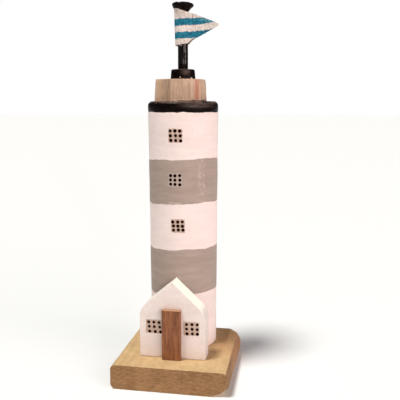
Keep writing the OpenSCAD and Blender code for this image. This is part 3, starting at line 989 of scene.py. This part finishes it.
def make_threads():
    """Loose ends of yarn along the pennant's cut edges."""
    rng = random.Random(11)
    low = PENNANT_LOW.z
    starts = [(rng.uniform(-5.2, 3.2), low + 0.5) for _ in range(9)]
    starts += [(rng.uniform(3.6, 7.0), low + 3.0) for _ in range(5)]
    starts += [(x, PENNANT_HIGH.z - 0.42 * (x - PENNANT_LOW.x)) for x in (7.2, 12.5, 18.0)]
    parts = []
    for x, z in starts:
        up = z > low + 8
        y = -3.9 * math.sqrt(max(0.0, 1 - (min(x, 0) / 5.9) ** 2)) if x < 4 else -2.0
        p, line = Vector((AXIS.x + x, AXIS.y + y * (0.4 if up else 1), z)), []
        aim = Vector((rng.uniform(-0.6, 0.6), rng.uniform(-0.4, 0.4), 0.5 if up else -1.0)).normalized()
        for _ in range(7):
            line.append(p.copy())
            p += aim * rng.uniform(0.12, 0.24)
            aim = (aim + Vector([rng.uniform(-0.35, 0.35) for _ in range(3)])).normalized()
        parts.append(tube(line, [0.07] * len(line), 5, Vector((0.3, 0.9, 0.2))))
    return make_piece("pennant_threads", *joined(parts))


def make_cottage(hole):
    """The cottage: a gabled block with round eaves, a worn ridge and two drilled windows."""
    low, high = COTTAGE_LOW, COTTAGE_HIGH
    top_x, ridge = (low.x + high.x) / 2 + 0.4, high.z + RIDGE_WEAR
    outline = [(low.x, low.z), (high.x, low.z)]
    for side, pitch, wall in ((1, RIGHT_PITCH, high.x), (-1, LEFT_PITCH, low.x)):
        corner = ridge - abs(wall - top_x) * math.tan(math.radians(pitch))
        rise = EAVE_ROUND * math.tan(math.radians((90 - pitch) / 2))
        bend = arc((abs(wall) - EAVE_ROUND, corner - rise), EAVE_ROUND, 0, 90 - pitch, 14)
        bend = [(side * x, z) for x, z in bend]
        outline += bend + [(top_x, ridge)] if side > 0 else bend[::-1]
    cottage = prism("cottage_block", outline, low.y, high.y - 0.05, 0.4, 0.9)
    relief(cottage, lambda p: 0.09 * wander(p, 9, 18) + 0.03 * wander(p, 2, 19) - 0.08)
    flatten_foot(cottage, low.z)
    ends = drilled_panes("cottage", lambda x, y, z: low.y + 3 < y < low.y + 5.6 and z > low.z + 14)
    cottage.data.materials.append(cottage_paint(windows_of(ends)))
    drill(cottage, pane_bits(ends, 1.04, 2), hole)
    return cottage


def make_door():
    """The door: a slip of hardwood glued to the cottage's front."""
    low, high = DOOR_LOW, DOOR_HIGH
    outline = [(low.x, low.z), (high.x, low.z), (high.x, high.z), (low.x, high.z)]
    door = prism("door_slip", outline, low.y, high.y - 0.05, 0.4, 0.45)
    relief(door, lambda p: 0.05 * wander((p.x, p.y, p.z / 14), 0.5, 20) + 0.07 * wander(p, 6, 21) - 0.07)
    flatten_foot(door, low.z)
    return door


# --- Stage ---

def place_camera():
    """The camera of the photo's view."""
    camera = add_object("camera", bpy.data.cameras.new("camera"))
    camera.data.lens, camera.data.sensor_width = CAMERA_LENS, 36
    camera.data.clip_start, camera.data.clip_end = 0.01, 50
    camera.location = Vector(CAMERA_PLACE) * MM
    camera.rotation_euler = (math.radians(90 - CAMERA_DOWN), 0, math.radians(CAMERA_TURN))
    bpy.context.scene.camera = camera


def sun(name, azimuth, elevation, energy, colour, softness):
    """A soft sun. azimuth is the side it shines from in degrees: 0 is the front and 90 the right."""
    lamp = add_object(name, bpy.data.lights.new(name, "SUN"))
    lamp.data.energy, lamp.data.color, lamp.data.angle = energy, colour, math.radians(softness)
    a, e = math.radians(azimuth), math.radians(elevation)
    towards = Vector((math.sin(a) * math.cos(e), -math.cos(a) * math.cos(e), math.sin(e)))
    lamp.rotation_euler = towards.to_track_quat("Z", "Y").to_euler()


def make_stage():
    """A pale floor without end, soft light from above and in front, and a white surround."""
    corners = ((-1, -1), (1, -1), (1, 1), (-1, 1))
    floor = make_piece("floor", [(9000 * x, 9000 * y, -0.2) for x, y in corners], [(0, 1, 2, 3)])
    s = Surface("floor_paper", specular=0.1)
    floor.data.materials.append(s.finish(s.mix(s.grain(400, seed=90), *PAPER), 0.9))
    sun("key", azimuth=-50, elevation=70, energy=2.62, colour=(1.0, 0.995, 0.93), softness=15)
    sun("fill", azimuth=55, elevation=15, energy=1.6, colour=(1.0, 0.88, 0.85), softness=48)
    for azimuth in (26, 72):
        sun("glint", azimuth, elevation=8, energy=0.35, colour=(1.0, 0.90, 0.86), softness=5)
    world = bpy.data.worlds.new("surround")
    bpy.context.scene.world = world
    world.use_nodes = True
    tree = world.node_tree
    soft = tree.nodes["Background"]
    soft.inputs["Color"].default_value = (0.96, 0.98, 1.0, 1.0)
    soft.inputs["Strength"].default_value = 0.12
    seen = tree.nodes.new("ShaderNodeBackground")
    seen.inputs["Color"].default_value = (1.0, 1.0, 1.0, 1.0)
    mix, path = tree.nodes.new("ShaderNodeMixShader"), tree.nodes.new("ShaderNodeLightPath")
    tree.links.new(path.outputs["Is Camera Ray"], mix.inputs[0])
    tree.links.new(soft.outputs[0], mix.inputs[1])
    tree.links.new(seen.outputs[0], mix.inputs[2])
    tree.links.new(mix.outputs[0], tree.nodes["World Output"].inputs[0])
    bpy.context.scene.view_settings.view_transform = "Standard"


# --- The ornament ---

place_camera()
make_stage()

black, cotton, hole = black_paint(), pennant_cloth(), pane_hole()
place(make_board(), "base_plate")
place(make_tower(hole), "tower")
place(make_cottage(hole), "cottage")
place(make_gallery(), "gallery_disc", black)
place(make_lantern(), "lantern_block", lantern_wood(), LANTERN_SHARP)
place(make_roof(), "lantern_roof", black)
place(make_mast(), "mast", black)
place(make_door(), "cottage_door", door_wood())
cloth, cloth_flat, cloth_area = make_pennant()
threads = make_threads()
place(cloth, "pennant", cotton)
place(threads, material=cotton)

metal = steel()
for node in ("tower_screw", "cottage_pins"):
    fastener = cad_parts[node]
    fastener.data.materials.clear()
    fastener.data.materials.append(metal)
